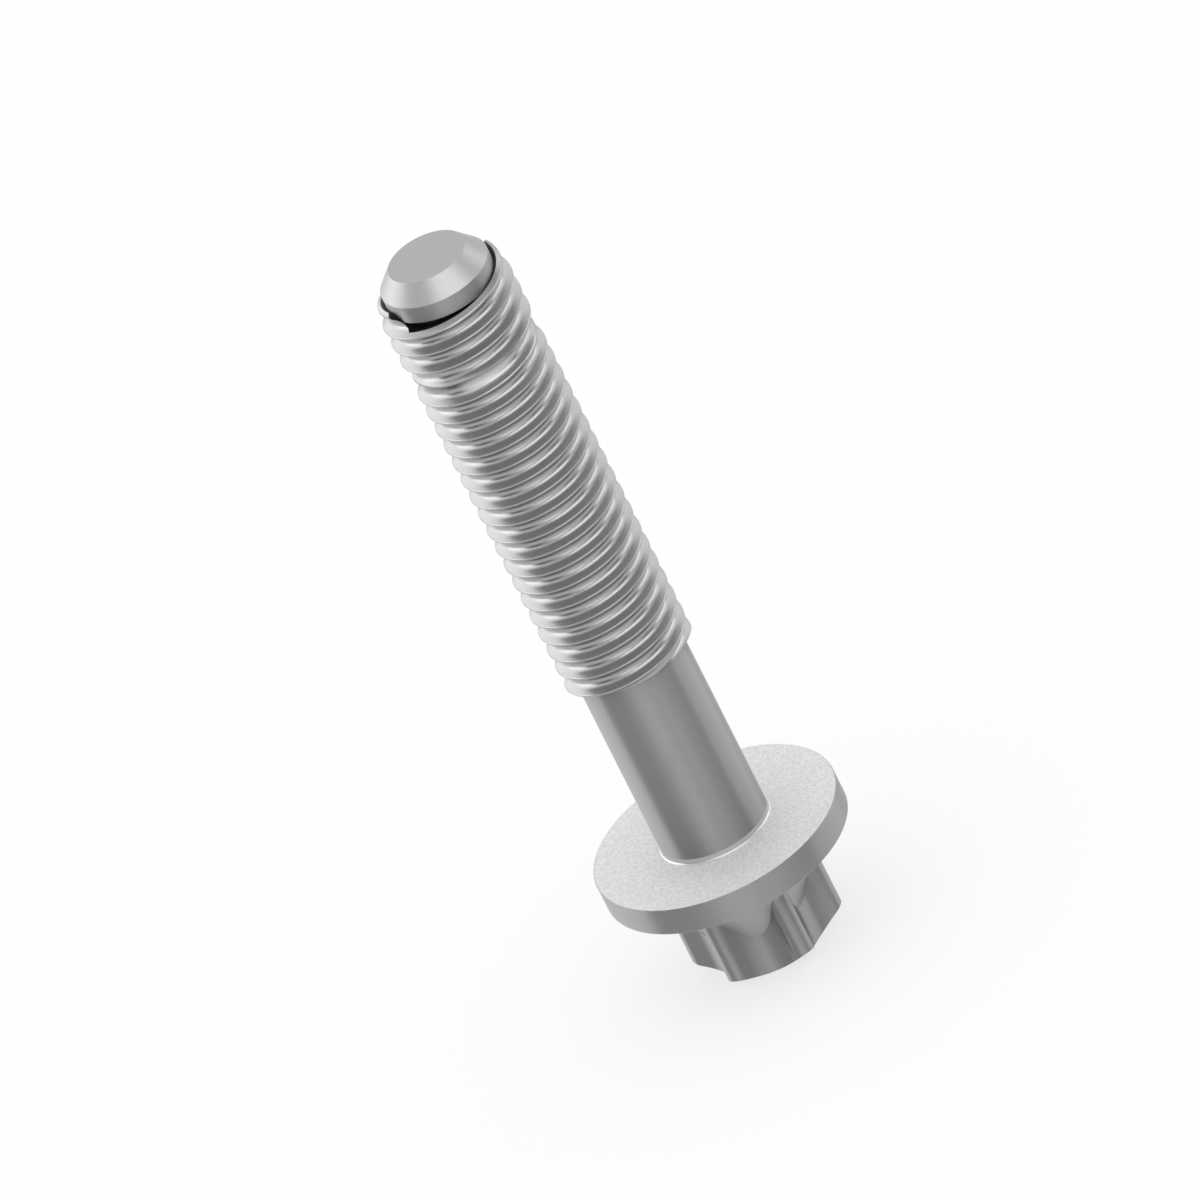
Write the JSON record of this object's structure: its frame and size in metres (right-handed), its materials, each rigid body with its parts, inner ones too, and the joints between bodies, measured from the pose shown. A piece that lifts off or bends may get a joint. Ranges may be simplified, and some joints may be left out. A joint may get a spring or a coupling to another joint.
{
  "type": "flange screw",
  "caption": "Flange screw with an external hexalobular head, a plain shank, a two-start rolled thread and a chamfered pilot point.",
  "frame": {"origin": "centre of the flat end of the head, on the screw's axis, where the screw stands", "axes": "+Z along the screw's axis, from the end of the head to the point; -Y is the side the picture shows"},
  "size_m": [0.015, 0.015, 0.0503],
  "materials": {
    "steel": "satin"
  },
  "bodies": {
    "root": {"screw": "steel"}
  },
  "joints": []
}
